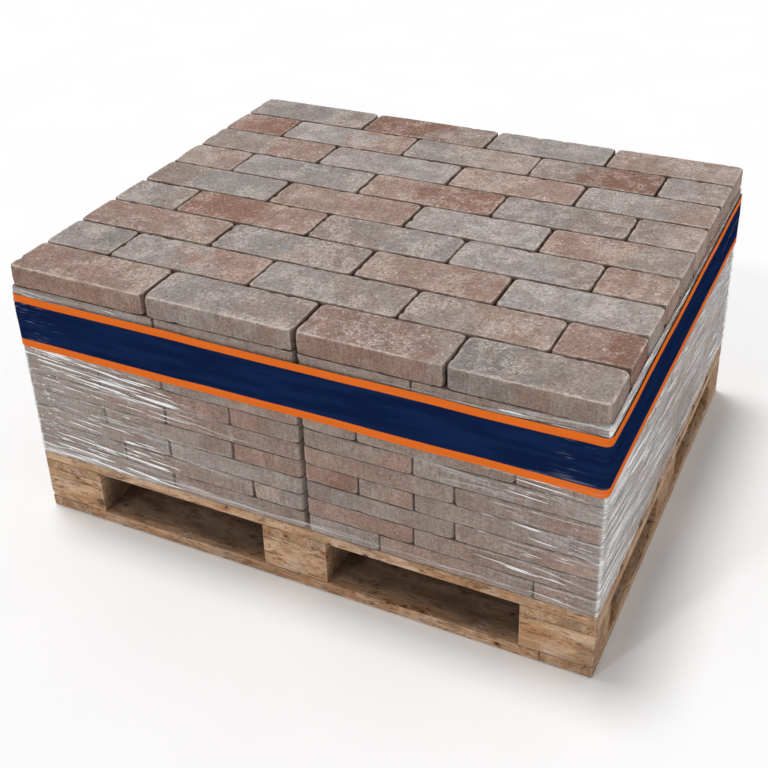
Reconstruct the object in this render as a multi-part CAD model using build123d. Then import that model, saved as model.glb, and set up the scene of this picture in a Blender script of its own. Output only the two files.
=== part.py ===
from build123d import *
import os

# Pallet of concrete paving bricks, wrapped in stretch film with a printed band round it.
# Millimetres. X runs along the long front side, Y from front to back, Z up.
# The origin is on the floor, under the middle of the pallet.

# Pallet, overall
PALLET_LENGTH = 1200
PALLET_DEPTH = 1000

# Pallet boards and blocks
DECK_THICKNESS = 22
STRINGER_THICKNESS = 22
BLOCK_HEIGHT = 76
BOTTOM_THICKNESS = 24
WIDE_DECK_BOARD = 145
DECK_GAP = 27.5
NARROW_BOARDS_PER_BAY = 2
BLOCK_LENGTH = 140
OUTER_BLOCK_DEPTH = 100
MIDDLE_BLOCK_DEPTH = 140
CROSS_BOARD_WIDTH = 100
BOARD_EDGE = 1.5

# Bricks
BRICK_LENGTH = 297
BRICK_WIDTH = 109
BRICK_HEIGHT = 39.5
TOP_BRICK_HEIGHT = 45
BRICK_EDGE = 2.5
JOINT = 1.5
PACK_GAP = 8

# Load
WRAPPED_LAYERS = 10
ROWS = 9
ROWS_BEFORE_GAP = 5
BRICKS_PER_PACK = 2
GAP_FROM_MIDDLE = 32

# The middle gap lies right of the middle, so the left pack's bricks are the longer ones.
LEFT_BRICK = BRICK_LENGTH + GAP_FROM_MIDDLE / BRICKS_PER_PACK
RIGHT_BRICK = BRICK_LENGTH - GAP_FROM_MIDDLE / BRICKS_PER_PACK

# Stones that a row of a wrapped layer can start with, beside the middle gap
WHOLE = [BRICK_LENGTH]
HALF = [(BRICK_LENGTH - JOINT) / 2]
END_ON = [BRICK_WIDTH]
TWO_ENDS_ON = [BRICK_WIDTH, BRICK_WIDTH]
LONG_CUT = [2 * BRICK_WIDTH]
LONGEST_LAST_STONE = 1.2 * BRICK_LENGTH

# What each wrapped layer starts with, bottom layer first: left and right pack of the front,
# then left and right pack of the back.
LEAD_STONES = [
    (WHOLE, HALF, WHOLE, LONG_CUT),
    (END_ON, LONG_CUT, HALF, WHOLE),
    (WHOLE, WHOLE, END_ON, HALF),
    (HALF, TWO_ENDS_ON, WHOLE, WHOLE),
    (WHOLE, WHOLE, LONG_CUT, END_ON),
    (HALF, LONG_CUT, WHOLE, HALF),
    (WHOLE, END_ON, HALF, WHOLE),
    (LONG_CUT, WHOLE, WHOLE, LONG_CUT),
    (HALF, WHOLE, END_ON, WHOLE),
    (WHOLE, LONG_CUT, WHOLE, HALF),
]

# Wrapping
FILM_THICKNESS = 0.5
FILM_CORNER = 4
FILM_ABOVE_PALLET = 2
FILM_BELOW_TOP_LAYER = 4
BAND_THICKNESS = 0.5
BAND_HEIGHT = 116
BAND_BELOW_TOP_LAYER = 17
SKIN_CLEARANCE = 0.3

# Heights and load outline that follow from the values above
STRINGER_BOTTOM = BOTTOM_THICKNESS + BLOCK_HEIGHT
DECK_BOTTOM = STRINGER_BOTTOM + STRINGER_THICKNESS
PALLET_TOP = DECK_BOTTOM + DECK_THICKNESS
LEFT_PACK = BRICKS_PER_PACK * LEFT_BRICK + (BRICKS_PER_PACK - 1) * JOINT
RIGHT_PACK = BRICKS_PER_PACK * RIGHT_BRICK + (BRICKS_PER_PACK - 1) * JOINT
LOAD_LENGTH = LEFT_PACK + PACK_GAP + RIGHT_PACK
LOAD_DEPTH = ROWS * BRICK_WIDTH + (ROWS - 2) * JOINT + PACK_GAP
TOP_LAYER_BOTTOM = PALLET_TOP + WRAPPED_LAYERS * BRICK_HEIGHT


def box_between(low, high, edge):
    """Box from its lowest to its highest corner, with its edges broken by a small chamfer."""
    size = [high[i] - low[i] for i in range(3)]
    middle = [(high[i] + low[i]) / 2 for i in range(3)]
    solid = Box(*size)
    solid = chamfer(solid.edges(), edge)
    return Pos(*middle) * solid


def board(x_span, y_span, z_span):
    low, high = zip(x_span, y_span, z_span)
    return box_between(low, high, BOARD_EDGE)


def spans_from(start, widths, gap):
    """Spans of the given widths laid one after another with a gap between them."""
    spans = []
    for width in widths:
        spans.append((start, start + width))
        start += width + gap
    return spans


# Pallet

def block_columns():
    """Spans along X of the three columns of blocks, left, middle and right."""
    gap = (PALLET_LENGTH - 3 * BLOCK_LENGTH) / 2
    return spans_from(-PALLET_LENGTH / 2, [BLOCK_LENGTH] * 3, gap)


def block_rows():
    """Spans along Y of the three rows of blocks, front, middle and back."""
    depths = [OUTER_BLOCK_DEPTH, MIDDLE_BLOCK_DEPTH, OUTER_BLOCK_DEPTH]
    gap = (PALLET_DEPTH - sum(depths)) / 2
    return spans_from(-PALLET_DEPTH / 2, depths, gap)


def deck_boards():
    """Wide boards at the front, middle and back, with narrower ones in the two bays between."""
    bay = (PALLET_DEPTH - 3 * WIDE_DECK_BOARD) / 2
    narrow = (bay - (NARROW_BOARDS_PER_BAY + 1) * DECK_GAP) / NARROW_BOARDS_PER_BAY
    widths = [WIDE_DECK_BOARD]
    for _ in range(2):
        widths += [narrow] * NARROW_BOARDS_PER_BAY + [WIDE_DECK_BOARD]
    x_span = (-PALLET_LENGTH / 2, PALLET_LENGTH / 2)
    z_span = (DECK_BOTTOM, PALLET_TOP)
    return [board(x_span, y_span, z_span) for y_span in spans_from(-PALLET_DEPTH / 2, widths, DECK_GAP)]


def stringer_boards():
    y_span = (-PALLET_DEPTH / 2, PALLET_DEPTH / 2)
    return [board(x_span, y_span, (STRINGER_BOTTOM, DECK_BOTTOM)) for x_span in block_columns()]


def cross_bottom_boards():
    """A board under each end of the pallet, from front to back."""
    y_span = (-PALLET_DEPTH / 2, PALLET_DEPTH / 2)
    end = PALLET_LENGTH / 2
    inner = end - CROSS_BOARD_WIDTH
    return [board(x_span, y_span, (0, BOTTOM_THICKNESS)) for x_span in [(-end, -inner), (inner, end)]]


def long_bottom_boards():
    """Boards under the three rows of blocks, butted between the cross boards."""
    inner = PALLET_LENGTH / 2 - CROSS_BOARD_WIDTH
    return [board((-inner, inner), y_span, (0, BOTTOM_THICKNESS)) for y_span in block_rows()]


def blocks():
    z_span = (BOTTOM_THICKNESS, STRINGER_BOTTOM)
    named = {}
    for depth_name, y_span in zip(["front", "middle", "back"], block_rows()):
        for side_name, x_span in zip(["left", "centre", "right"], block_columns()):
            named[f"block_{depth_name}_{side_name}"] = board(x_span, y_span, z_span)
    return named


# Bricks

def brick(x_span, y_span, z_span):
    low, high = zip(x_span, y_span, z_span)
    return box_between(low, high, BRICK_EDGE)


def row_spans():
    """Spans along Y of the rows, with the gap between the front and back packs."""
    front = spans_from(-LOAD_DEPTH / 2, [BRICK_WIDTH] * ROWS_BEFORE_GAP, JOINT)
    back_start = front[-1][1] + PACK_GAP
    return front + spans_from(back_start, [BRICK_WIDTH] * (ROWS - ROWS_BEFORE_GAP), JOINT)


def stones_beside_gap(lead, pack_length):
    """Spans outward from the middle gap: the lead stones, then whole bricks, then one stone
    that fills what is left of the pack."""
    lengths = list(lead)
    room = pack_length - sum(lead) - len(lead) * JOINT
    while room > LONGEST_LAST_STONE:
        lengths.append(BRICK_LENGTH)
        room -= BRICK_LENGTH + JOINT
    lengths.append(room)
    return spans_from(0, lengths, JOINT)


def packs_row(left, right):
    """Spans along X of a wrapped row, from the lead stones of its left and right pack."""
    left_end = -LOAD_LENGTH / 2 + LEFT_PACK
    right_start = left_end + PACK_GAP
    spans = [(left_end - b, left_end - a) for a, b in stones_beside_gap(left, LEFT_PACK)]
    spans += [(right_start + a, right_start + b) for a, b in stones_beside_gap(right, RIGHT_PACK)]
    return spans


def wrapped_layer(layer):
    """The outer ring of bricks of one layer under the film. The rest is the core."""
    front_left, front_right, back_left, back_right = LEAD_STONES[layer]
    bottom = PALLET_TOP + layer * BRICK_HEIGHT
    z_span = (bottom, bottom + BRICK_HEIGHT)
    rows = row_spans()
    bricks = [brick(x_span, rows[0], z_span) for x_span in packs_row(front_left, front_right)]
    bricks += [brick(x_span, rows[-1], z_span) for x_span in packs_row(back_left, back_right)]
    outer = LOAD_LENGTH / 2
    inner = outer - BRICK_LENGTH
    for y_span in rows[1:-1]:
        bricks.append(brick((-outer, -inner), y_span, z_span))
        bricks.append(brick((inner, outer), y_span, z_span))
    return bricks


def top_row_lengths(row):
    """Brick lengths of a row of the top layer. Every second row starts and ends with a half
    brick, and its middle brick lies across the gap between the packs under it."""
    if row % 2 == 0:
        return [LEFT_BRICK] * BRICKS_PER_PACK + [RIGHT_BRICK] * BRICKS_PER_PACK
    half_left = (LEFT_BRICK - JOINT) / 2
    half_right = (RIGHT_BRICK - JOINT) / 2
    across_gap = half_left + PACK_GAP + half_right
    left = [half_left] + [LEFT_BRICK] * (BRICKS_PER_PACK - 1)
    right = [RIGHT_BRICK] * (BRICKS_PER_PACK - 1) + [half_right]
    return left + [across_gap] + right


def top_layer():
    """Rows of loose bricks in running bond, evenly spread over the load."""
    depth_joint = (LOAD_DEPTH - ROWS * BRICK_WIDTH) / (ROWS - 1)
    rows = spans_from(-LOAD_DEPTH / 2, [BRICK_WIDTH] * ROWS, depth_joint)
    z_span = (TOP_LAYER_BOTTOM, TOP_LAYER_BOTTOM + TOP_BRICK_HEIGHT)
    bricks = []
    for row, y_span in enumerate(rows):
        lengths = top_row_lengths(row)
        joint = (LOAD_LENGTH - sum(lengths)) / (len(lengths) - 1)
        for x_span in spans_from(-LOAD_LENGTH / 2, lengths, joint):
            bricks.append(brick(x_span, y_span, z_span))
    return bricks


def brick_core():
    """Plain block in place of the bricks that the outer ones hide."""
    half_x = LOAD_LENGTH / 2 - BRICK_LENGTH - JOINT
    rows = row_spans()
    y_span = (rows[0][1] + JOINT, rows[-1][0] - JOINT)
    return board((-half_x, half_x), y_span, (PALLET_TOP, TOP_LAYER_BOTTOM))


# Wrapping

def skin_round_load(offset, thickness, corner, z_span):
    """Closed tube round the load, offset from its sides."""
    length = LOAD_LENGTH + 2 * offset
    depth = LOAD_DEPTH + 2 * offset
    height = z_span[1] - z_span[0]
    inside = RectangleRounded(length, depth, corner)
    outside = RectangleRounded(length + 2 * thickness, depth + 2 * thickness, corner + thickness)
    return Pos(0, 0, z_span[0]) * extrude(outside - inside, height)


def stretch_film():
    z_span = (PALLET_TOP + FILM_ABOVE_PALLET, TOP_LAYER_BOTTOM - FILM_BELOW_TOP_LAYER)
    return skin_round_load(SKIN_CLEARANCE, FILM_THICKNESS, FILM_CORNER, z_span)


def printed_band():
    top = TOP_LAYER_BOTTOM - BAND_BELOW_TOP_LAYER
    offset = 2 * SKIN_CLEARANCE + FILM_THICKNESS
    return skin_round_load(offset, BAND_THICKNESS, FILM_CORNER + offset, (top - BAND_HEIGHT, top))


def numbered(name, solids):
    return {f"{name}_{number}": solid for number, solid in enumerate(solids, 1)}


def all_parts():
    parts = {}
    parts.update(numbered("deck_board", deck_boards()))
    parts.update(numbered("stringer_board", stringer_boards()))
    parts.update(blocks())
    parts.update(numbered("long_bottom_board", long_bottom_boards()))
    parts.update(numbered("cross_bottom_board", cross_bottom_boards()))
    for layer in range(WRAPPED_LAYERS):
        parts[f"brick_layer_{layer + 1:02d}"] = Compound(children=wrapped_layer(layer))
    parts[f"brick_layer_{WRAPPED_LAYERS + 1:02d}"] = Compound(children=top_layer())
    parts["brick_core"] = brick_core()
    parts["stretch_film"] = stretch_film()
    parts["printed_band"] = printed_band()
    return parts


os.makedirs("parts", exist_ok=True)
for node, shape in all_parts().items():
    export_step(shape, f"parts/{node}.step")
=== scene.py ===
import itertools
import math

import bpy
import numpy as np
from mathutils import Matrix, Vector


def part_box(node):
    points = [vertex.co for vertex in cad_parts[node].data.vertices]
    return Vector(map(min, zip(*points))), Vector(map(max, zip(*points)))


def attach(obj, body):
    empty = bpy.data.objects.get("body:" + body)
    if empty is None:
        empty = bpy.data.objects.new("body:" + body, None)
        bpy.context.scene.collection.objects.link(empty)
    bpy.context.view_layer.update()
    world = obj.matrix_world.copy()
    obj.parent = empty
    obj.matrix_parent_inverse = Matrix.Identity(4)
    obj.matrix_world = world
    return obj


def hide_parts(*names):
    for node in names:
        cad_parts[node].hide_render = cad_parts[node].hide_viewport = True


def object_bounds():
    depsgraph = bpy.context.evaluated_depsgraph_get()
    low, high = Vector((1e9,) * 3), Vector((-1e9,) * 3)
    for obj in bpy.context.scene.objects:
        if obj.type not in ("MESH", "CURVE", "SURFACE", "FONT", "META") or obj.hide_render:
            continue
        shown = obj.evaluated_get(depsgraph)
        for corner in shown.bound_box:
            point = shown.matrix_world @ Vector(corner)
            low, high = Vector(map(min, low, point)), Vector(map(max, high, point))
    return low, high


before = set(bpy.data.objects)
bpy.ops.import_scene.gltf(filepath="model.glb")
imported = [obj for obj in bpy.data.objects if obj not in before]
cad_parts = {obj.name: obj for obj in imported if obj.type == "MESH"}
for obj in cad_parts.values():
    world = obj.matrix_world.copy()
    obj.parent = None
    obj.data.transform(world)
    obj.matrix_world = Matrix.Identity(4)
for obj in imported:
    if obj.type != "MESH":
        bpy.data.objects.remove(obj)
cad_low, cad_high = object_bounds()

# Looks of a pallet of tumbled concrete paving bricks in stretch film, with a printed band.
# Metres, in the frame's own axes: X along the long front side, Y to the back, Z up.

MM = 0.001
SEED = 20
TINY = 1e-6

# Camera, as the photograph was taken: its angles in degrees, its lens in millimetres for
# Blender's usual sensor, which is 36 mm wide
CAMERA_PLACE = (0.974, -2.015, 1.642)
CAMERA_PITCH = 29.05
CAMERA_TURN = 26.7
CAMERA_ROLL = -1.8
CAMERA_LENS = 56.3
CAMERA_SHIFT_Y = -0.12

# Bricks of the bare top layer, those under the film, which are seen less closely, and the two of those
# beside the middle gap. Spacing is between mesh points and wear is how far an edge is rounded, along X, Y
# and Z. Upright edges are rounder by the given share. The share at the ends is how strongly a brick's ends
# are darkened with grime and painted shade where they meet a neighbour.
TOP_BRICK = {
    "spacing": (7 * MM, 7 * MM, 12 * MM),
    "wear": (6.6 * MM, 6.6 * MM, 4.0 * MM),
    "chips": (10, 20),
    "widest_chip": 12 * MM,
    "shift": 0.6 * MM,
    "unevenness": 0.6 * MM,
    "rounder": 0.9,
    "end_dirt_and_shade": 1.0,
}
LOWER_BRICK = {
    "spacing": (20 * MM, 24 * MM, 14 * MM),
    "wear": (4.6 * MM, 4.6 * MM, 3.8 * MM),
    "chips": (2, 6),
    "widest_chip": 12 * MM,
    "shift": 0.4 * MM,
    "unevenness": 0.3 * MM,
    "rounder": 0.4,
    "end_dirt_and_shade": 0.72,
}
GAP_BRICK = {**LOWER_BRICK, "rounder": 1.0, "end_dirt_and_shade": 0.55}
TOP_LAYER = "brick_layer_11"
FACE_LUMP = 27 * MM
BRIGHTNESS = (0.93, 1.07)

# Timber, with hollows in its faces that are longer along the grain than across it
TIMBER = {
    "spacing": (14 * MM,) * 3,
    "wear": (1.8 * MM,) * 3,
    "chips": (2, 6),
    "widest_chip": 13 * MM,
    "unevenness": 0.5 * MM,
    "rounder": 0.0,
}
TIMBER_LUMP = 14 * MM
TIMBER_LUMP_LENGTH = 0.3
TIMBER_TONES = (0.0, 0.9)
END_FACE = 0.495  # as a share of the length from the middle, where a timber's end begins

# Timber is bare this far in from the pallet's outside, and darkened with dust and painted shade past a
# further stretch. The cross boards at the bottom look lighter, and have only this share of the darkening.
BARE_RIM = 4 * MM
DUST_AND_SHADE_STRETCH = 30 * MM
CROSS_BOARD_DUST_AND_SHADE = 0.3

# Worn edges of bricks and timbers
EDGE_ZONE = 1.5  # width of the finer mesh along an edge, as a share of the wear
INNER_PLACE = 0.35  # where that zone has one more point, as a share of its width
LEAST_WEAR = 0.6  # share of the wear where an edge is least rounded
WEAR_RANGE = 0.8  # how much more of it there is where the edge is most rounded
WEAR_LUMPS = ((30 * MM, 0.6, 0), (9 * MM, 0.4, 7))  # size, share and own seed of each noise
CORNER_REACH = 14 * MM  # how far the rounder upright edges reach
CHIP_ODDS = (0.5, 0.3, 0.2)  # that a chip is on an edge along X, Y or Z
CHIP_WIDTHS = (0.5, 1.0)
CHIP_DEPTH = 0.16  # as a share of the chip's width
FACE_PART = 0.48  # as a share of the size from the middle, where a face's points begin
OUTER_REACH = 3 * MM  # a face this near the load's outside is an outer face

# Each piece reads its materials' noise at a place of its own, within this reach
NOISE_REACH = 20

# Mesh points are one point where they agree to so many digits of a metre, and bricks are in one
# row where their front edges do
POINT_DIGITS = 5
ROW_DIGITS = 3

# Wrapping: how far out it lies, how round its corners are, how high a mesh row is, how far its
# upper edge lifts, and the values that its material reads
FILM = {
    "node": "stretch_film",
    "offset": 2.2 * MM,
    "corner": 9 * MM,
    "row": 2 * MM,
    "lift": 16 * MM,
    "reads": ("place", "crease", "slanted", "haze_and_reflection", "streaky", "crinkled"),
}
BAND = {
    "node": "printed_band",
    "offset": 4.6 * MM,
    "corner": 14 * MM,
    "row": 3 * MM,
    "lift": 0.0,
    "reads": ("place", "crease", "across", "crinkled"),
}
STRIPE_SHARE = 0.14
STRIPE_SOFTNESS = 0.006
CORNER_ZONE = 56 * MM
CORNER_SPACING = 4.5 * MM
SIDE_SPACING = 12.5 * MM
CORNER_TURNS = (22.5, 45, 67.5)

# Folds: their height, the soft swell between them, and shares of a zone's values for each fold
FOLD_HEIGHT = 2 * MM
FOLD_WIDTH = 1.5 * MM
FOLD_LENGTHS = (0.2, 1.0)
FOLD_WIDTHS = (0.6, 1.3)
FOLD_STRENGTHS = (0.3, 1.0)
FOLD_SLOPES = 0.03
FOLD_END = 0.45  # a fold's width at its ends, as a share of that at its middle
FOLD_WAVE = 1.2 * MM
WAVES_ALONG = 40  # radians a metre along a fold
WAVES_BETWEEN = 90  # radians a metre from one fold to the next above
SWELL_HEIGHT = 1 * MM
SWELL_SIZE = 0.11
SWELL_FLATNESS = 3  # how much lower than long a swell is
HEM_WAVE = 3 * MM
HEM_WAVE_SIZE = 0.09

# The film's upper edge lifts off past the near corner, within a width, and steeply at the top.
# A turn of film drops by these shares of the way past the near corner and before it.
LIFT_PLACE = 0.13
LIFT_WIDTH = 0.24
LIFT_POWER = 6
DROP_PAST = 0.15
DROP_BEFORE = 0.06

# Spots on the film: how far past which corner, how wide, and how strong
FRONT_HAZE = (("left", 0, 0.32, 0.27), ("near", 0, 0.12, 0.12))
HEM_HAZE = (("left", 0, 0.32, 0.5),)
TUCKED_HAZE = (("left", 0.05, 0.17, 1.0),)
RIGHT_SIDE_HAZE_AND_REFLECTION = (("near", 0, 0.35, 0.2),)
# Painted highlight lines down the film's corners
CORNER_HIGHLIGHTS = tuple((corner, 0, 0.006, 0.35) for corner in ("left", "near", "far", "back"))
# Streaks and crinkles mark where white painted highlights lie on the film; on the band, crinkles mark its
# painted sheen
LEFT_STREAKS = (("left", 0.2, 0.28, 1.0),)
NEAR_STREAKS = (("near", -0.12, 0.2, 0.76),)
RIGHT_SIDE_STREAKS = (("near", 0, 0.35, 0.1),)
CRINKLES = (
    ("left", 0.045, 0.045, 0.7), ("near", -0.055, 0.03, 0.5),
    ("far", 0.03, 0.02, 0.3), ("back", 0.03, 0.02, 0.3),
)

# How milky and how streaky the film is away from the spots. Pairs are for the right side, and for the back
# and left ones. The right side's greater milkiness is partly a painted reflection, and the streaks are
# white painted highlights.
CLEAR_HAZE = 0.015
LEAST_HEM_HAZE = 0.12
SIDE_HAZE_AND_REFLECTION = (0.66, 0.4)
SIDE_STREAKS = (0.84, 0.76)
STREAKS_ABOVE_BAND = 0.55  # as a share of those below it
STREAK_PATCHES = 0.3
PATCH_SIZE = (0.26, 0.08, 1.0)
HEM_SHARE = 0.04  # of the film's height, where its lower hem is milky
TUCK_DROP = 9 * MM  # how far under the band the film is drawn together
TUCK_HEIGHT = 6 * MM

# Studio: suns with their strength, height over the horizon, turn and width in degrees
KEY_SUN = {"energy": 1.54, "height": 79, "turn": -112, "width": 15}
GLINT_SUN = {"energy": 0.35, "height": 38, "turn": -25, "width": 5}
SKY_STRENGTH = 0.48
FLOOR_REACH = 40.0
FLOOR_DROP = 1 * MM

rng = np.random.default_rng(SEED)


# Colours, written as 0 to 255

def colour(red, green, blue):
    """Linear colour with alpha from a display colour."""
    shares = [value / 255 for value in (red, green, blue)]
    return [s / 12.92 if s < 0.04045 else ((s + 0.055) / 1.055) ** 2.4 for s in shares] + [1.0]


# Tones of bricks
TONES = {
    "grey": colour(153, 144, 140),
    "blue_grey": colour(157, 149, 146),
    "dark_grey": colour(138, 131, 127),
    "taupe": colour(151, 138, 130),
    "beige": colour(165, 148, 139),
    "pink": colour(157, 135, 124),
    "red": colour(155, 129, 118),
    "brown_red": colour(144, 120, 110),
    "strong_red": colour(140, 107, 94),
    "dark_brown": colour(150, 134, 124),
}

# Top layer, front row first and each row from the left: main tone, other tone, and the share
# of the brick's length where the main tone gives way to the other.
TOP_TONES = [
    [("red", "pink", 0.7), ("grey", "taupe", 0.62), ("brown_red", "taupe", 0.9),
     ("dark_grey", "taupe", 0.45)],
    [("grey", "dark_grey", 0.6), ("grey", "red", 0.58), ("grey", "taupe", 0.5), ("taupe", "pink", 0.5),
     ("red", "strong_red", 0.6)],
    [("red", "pink", 0.65), ("grey", "taupe", 0.6), ("pink", "red", 0.4), ("blue_grey", "grey", 0.6)],
    [("grey", "taupe", 0.7), ("strong_red", "red", 0.55), ("taupe", "grey", 0.4),
     ("blue_grey", "taupe", 0.7), ("red", "pink", 0.5)],
    [("dark_brown", "blue_grey", 0.36), ("pink", "red", 0.6), ("grey", "blue_grey", 0.5),
     ("red", "taupe", 0.5)],
    [("beige", "pink", 0.5), ("blue_grey", "grey", 0.6), ("red", "strong_red", 0.5),
     ("grey", "taupe", 0.6), ("taupe", "beige", 0.5)],
    [("taupe", "red", 0.48), ("grey", "blue_grey", 0.6), ("pink", "red", 0.6), ("grey", "pink", 0.7)],
    [("red", "strong_red", 0.4), ("blue_grey", "red", 0.6), ("grey", "beige", 0.5),
     ("taupe", "strong_red", 0.45), ("grey", "taupe", 0.5)],
    [("grey", "taupe", 0.8), ("strong_red", "dark_brown", 0.6), ("grey", "blue_grey", 0.5),
     ("pink", "beige", 0.6)],
]

# Wrapped layers from the bottom: tones of the front stones left and right of the middle gap
GAP_TONES = [
    [("red", "taupe", 0.4), ("blue_grey", "grey", 0.5)],
    [("beige", "grey", 0.5), ("pink", "red", 0.5)],
    [("blue_grey", "grey", 0.5), ("grey", "taupe", 0.6)],
    [("red", "pink", 0.5), ("red", "strong_red", 0.5)],
    [("pink", "taupe", 0.35), ("pink", "taupe", 0.6)],
    [("red", "taupe", 0.5), ("taupe", "red", 0.75)],
    [("grey", "beige", 0.5), ("beige", "taupe", 0.5)],
]

# Other wrapped stones draw a pair of tones and the share where one gives way to the other. With
# the last share the main tone covers nearly all of the stone.
LOWER_PAIRS = [
    ("taupe", "pink"), ("taupe", "grey"), ("pink", "taupe"), ("grey", "blue_grey"), ("taupe", "red"),
    ("grey", "taupe"), ("pink", "red"), ("dark_brown", "taupe"), ("taupe", "taupe"),
]
LOWER_SHARES = (0.3, 0.5, 0.7, 1.4)

# Concrete
SIDE_TINT = (1.02, 0.955, 0.905, 1.0)
HUE_TINTS = ((1.03, 0.99, 0.96, 1.0), (0.97, 1.0, 1.03, 1.0))
SIDE_RED = colour(141, 115, 103)
PALE_GRIT = colour(220, 206, 195)
PORE = colour(86, 71, 64)
WORN_EDGE = colour(206, 192, 181)
CHIPPED_EDGE = colour(186, 170, 158)
# Grime and painted shade in the joints
JOINT_DIRT_AND_SHADE = colour(88, 70, 59)
CORE_BROWNS = (colour(58, 50, 46), colour(86, 76, 70))

# Wood: the light and the dark growth bands go from their first to their second colour with a
# timber's own tone
LIGHT_BANDS = (colour(214, 178, 142), colour(203, 168, 138))
DARK_BANDS = (colour(190, 148, 110), colour(177, 137, 104))
RESIN = colour(188, 134, 92)
BLEACHED = colour(216, 190, 170)
WEATHERED = colour(150, 124, 104)
STAIN = colour(112, 78, 52)
FLECK = colour(84, 56, 34)
CRACK = colour(96, 66, 44)
END_GRAIN = colour(130, 98, 70)
# Rubbed edges, with painted highlights
RUBBED_EDGE_AND_HIGHLIGHT = colour(228, 203, 176)
# Dust and painted shade inside the pallet
DUST_AND_SHADE = colour(88, 74, 62)
# Painted shade in the seams between timbers
SEAM_SHADE = colour(62, 43, 30)

# Dark spots in wood, one to a cell: the cells' scale, that along the grain as a share of it,
# the share of cells with a spot, and the rings of a spot from outside to inside, each with its
# outer and inner radius, its strength and its colour.
NAIL_MARKS = {
    "along": 0.7, "scale": 38.0, "chosen": 0.42,
    "rings": ((0.4, 0.14, 0.55, colour(158, 102, 58)), (0.17, 0.1, 0.9, colour(66, 38, 24))),
}
KNOTS = {
    "along": 0.55, "scale": 9.0, "chosen": 0.45,
    "rings": ((0.26, 0.08, 0.5, colour(150, 100, 62)), (0.1, 0.06, 0.8, colour(72, 46, 32))),
}

# Film, band and floor: each goes from the first to the second colour
# The film's white, up to the pure white of its painted highlights
FILM_WHITES = (colour(236, 234, 232), colour(255, 255, 255))
BAND_BLUES = (colour(16, 32, 68), colour(22, 41, 79))
STRIPE_ORANGES = (colour(232, 109, 36), colour(244, 122, 46))
# Paler blue of the band's painted sheen and crease highlights
BAND_SHEEN_AND_HIGHLIGHT = colour(214, 220, 232)
FLOOR_WHITES = (colour(251, 251, 251), colour(253, 253, 253))


# Noise and mesh helpers. A number added to a seed only makes another noise.

def lattice_value(cells, seed):
    """Repeatable value from 0 to 1 for each whole-number cell, by mixing its bits."""
    mixed = cells.astype(np.uint64) * np.array([73856093, 19349663, 83492791], np.uint64)
    key = mixed[:, 0] ^ mixed[:, 1] ^ mixed[:, 2] ^ np.uint64(seed * 2654435761)
    key = (key ^ (key >> np.uint64(15))) * np.uint64(2246822519)
    key = (key ^ (key >> np.uint64(13))) * np.uint64(3266489917)
    return ((key ^ (key >> np.uint64(16))) & np.uint64(0xFFFFFF)) / 0xFFFFFF


def smooth_noise(points, size, seed):
    """Smooth noise from 0 to 1 with lumps about as large as size, a length or one for each axis."""
    grid = points / size
    cell = np.floor(grid).astype(np.int64)
    part = grid - cell
    part = part * part * (3 - 2 * part)
    total = np.zeros(len(points))
    for corner in itertools.product((0, 1), repeat=3):
        share = np.prod(np.where(corner, part, 1 - part), axis=1)
        total += share * lattice_value(cell + corner, seed)
    return total


def side_points(length, spacing, edge):
    """Places along one side of a box, closer together at both ends, where its edges are worn."""
    steps = max(1, round((length - 2 * edge) / spacing))
    middle = np.linspace(edge, length - edge, steps + 1)
    near = INNER_PLACE * edge
    return np.concatenate([[0, near], middle, [length - near, length]])


def box_skin(sides):
    """Points and outward quads of a box's skin, with the given places along its three sides."""
    shape = tuple(len(side) for side in sides)
    on_skin = np.ones(shape, bool)
    on_skin[1:-1, 1:-1, 1:-1] = False
    number = np.full(shape, -1)
    number[on_skin] = np.arange(on_skin.sum())
    points = np.stack(np.meshgrid(*sides, indexing="ij"), -1)[on_skin]
    quads = []
    for axis in range(3):
        for end in (0, -1):
            face = np.take(number, end, axis=axis)
            corners = [face[:-1, :-1], face[1:, :-1], face[1:, 1:], face[:-1, 1:]]
            quad = np.stack(corners, -1).reshape(-1, 4)
            faces_in = (end == 0) != (axis == 1)
            quads.append(quad[:, ::-1] if faces_in else quad)
    return points, np.concatenate(quads)


def worn_box(size, kind, seed):
    """Box from the origin to size, with edges rounded unevenly by its kind's wear. Gives its
    points, their places on the sharp box, quads, and how near each point is to an edge, from 0
    on a face to 1 on the edge itself."""
    wear = np.array(kind["wear"])
    sides = [side_points(*side) for side in zip(size, kind["spacing"], EDGE_ZONE * wear)]
    sharp, quads = box_skin(sides)
    lumps = sum(share * smooth_noise(sharp, lump, seed + own) for lump, share, own in WEAR_LUMPS)
    to_ends = np.minimum(sharp, size - sharp)
    at_corner = np.exp(-(np.hypot(to_ends[:, 0], to_ends[:, 1]) / CORNER_REACH) ** 2)
    radius = (LEAST_WEAR + WEAR_RANGE * lumps)[:, None] * wear
    radius[:, :2] *= 1 + kind["rounder"] * at_corner[:, None]
    core = np.clip(sharp, radius, size - radius)
    out = (sharp - core) / radius
    reach = np.linalg.norm(out, axis=1, keepdims=True)
    rounded = core + out / reach * radius
    second = np.sort(np.abs(out), axis=1)[:, 1]
    return rounded, sharp, quads, second


def chip_edges(points, size, kind):
    """Presses small hollows into a box's edges, as tumbling does. Gives the points and how deep
    in a hollow each is, from 0 to 1."""
    hit = np.zeros(len(points))
    for _ in range(int(rng.integers(*kind["chips"]))):
        along = int(rng.choice(3, p=CHIP_ODDS))
        centre = np.where(rng.random(3) < 0.5, 0, size)
        centre[along] = rng.uniform(0, size[along])
        inward = np.where(centre > size / 2, -1.0, 1.0)
        inward[along] = 0
        width = rng.uniform(*CHIP_WIDTHS) * kind["widest_chip"]
        near = np.linalg.norm(points - centre, axis=1) / width
        press = np.where(near < 1, (1 - near ** 2) ** 2, 0)
        points = points + press[:, None] * inward * width * CHIP_DEPTH
        hit = np.maximum(hit, press)
    return points, hit


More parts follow.
